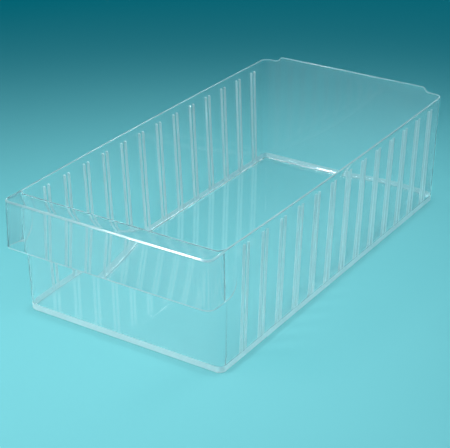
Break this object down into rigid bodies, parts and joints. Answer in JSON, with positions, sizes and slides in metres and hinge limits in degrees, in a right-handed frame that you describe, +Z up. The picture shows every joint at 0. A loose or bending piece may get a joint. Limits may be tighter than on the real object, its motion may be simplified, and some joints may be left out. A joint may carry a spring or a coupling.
{
  "type": "storage drawer",
  "caption": "Clear plastic open-top storage drawer with a hooded finger pull, paired divider ribs inside both side walls and a raised middle on the back wall.",
  "frame": {"origin": "bottom centre of the drawer's overall box, on the surface it stands on", "axes": "+X to the right of someone facing the pull, +Y from the pull to the back wall, +Z up"},
  "size_m": [0.2134, 0.426, 0.1196],
  "materials": {
    "clear_plastic": "clear, colourless, polished moulding"
  },
  "bodies": {
    "root": {"back_left_corner": "clear_plastic", "back_right_corner": "clear_plastic", "back_wall": "clear_plastic", "floor_panel": "clear_plastic", "front_left_corner": "clear_plastic", "front_right_corner": "clear_plastic", "front_wall": "clear_plastic", "left_divider_guide_01": "clear_plastic", "left_divider_guide_02": "clear_plastic", "left_divider_guide_03": "clear_plastic", "left_divider_guide_04": "clear_plastic", "left_divider_guide_05": "clear_plastic", "left_divider_guide_06": "clear_plastic", "left_divider_guide_07": "clear_plastic", "left_divider_guide_08": "clear_plastic", "left_divider_guide_09": "clear_plastic", "left_divider_guide_10": "clear_plastic", "left_divider_guide_11": "clear_plastic", "left_divider_guide_12": "clear_plastic", "left_divider_guide_13": "clear_plastic", "left_side_wall": "clear_plastic", "pull_apron": "clear_plastic", "pull_left_cheek": "clear_plastic", "pull_left_corner": "clear_plastic", "pull_right_cheek": "clear_plastic", "pull_right_corner": "clear_plastic", "pull_shelf": "clear_plastic", "right_divider_guide_01": "clear_plastic", "right_divider_guide_02": "clear_plastic", "right_divider_guide_03": "clear_plastic", "right_divider_guide_04": "clear_plastic", "right_divider_guide_05": "clear_plastic", "right_divider_guide_06": "clear_plastic", "right_divider_guide_07": "clear_plastic", "right_divider_guide_08": "clear_plastic", "right_divider_guide_09": "clear_plastic", "right_divider_guide_10": "clear_plastic", "right_divider_guide_11": "clear_plastic", "right_divider_guide_12": "clear_plastic", "right_divider_guide_13": "clear_plastic", "right_side_wall": "clear_plastic"}
  },
  "joints": []
}
